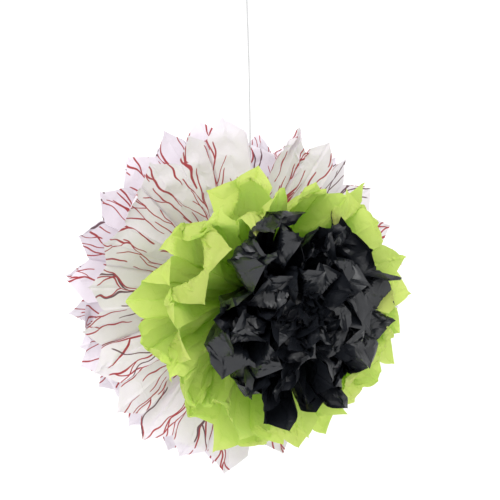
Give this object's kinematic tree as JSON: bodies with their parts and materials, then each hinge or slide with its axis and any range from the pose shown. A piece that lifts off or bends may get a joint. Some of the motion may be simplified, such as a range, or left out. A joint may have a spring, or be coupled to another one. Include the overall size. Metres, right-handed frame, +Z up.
{
  "type": "tissue paper pom pom",
  "caption": "Hanging tissue paper pom pom made like an eyeball: black middle, green ring, and a white back printed with red veins, tied at the waist and hung on a string with a loop.",
  "frame": {"origin": "top of the string's loop, where the pom pom hangs", "axes": "+Z up along the string, -Y out of the middle of the black cap, X along the two fans of each sheet"},
  "size_m": [0.347, 0.3583, 0.514],
  "materials": {
    "black_tissue": "satin",
    "green_tissue": "matte",
    "white_tissue": "matte",
    "tie_wire": "satin",
    "string": "matte"
  },
  "bodies": {
    "root": {"black_sheet_1": "black_tissue", "black_sheet_2": "black_tissue", "black_sheet_3": "black_tissue", "black_sheet_4": "black_tissue", "green_sheet_1": "green_tissue", "green_sheet_2": "green_tissue", "white_sheet_1": "white_tissue", "white_sheet_2": "white_tissue", "white_sheet_3": "white_tissue", "white_sheet_4": "white_tissue", "white_sheet_5": "white_tissue", "white_sheet_6": "white_tissue", "white_sheet_7": "white_tissue", "white_sheet_8": "white_tissue", "waist_tie": "tie_wire", "hanging_string": "string", "loop_knot": "string", "hanging_loop": "string"}
  },
  "joints": []
}
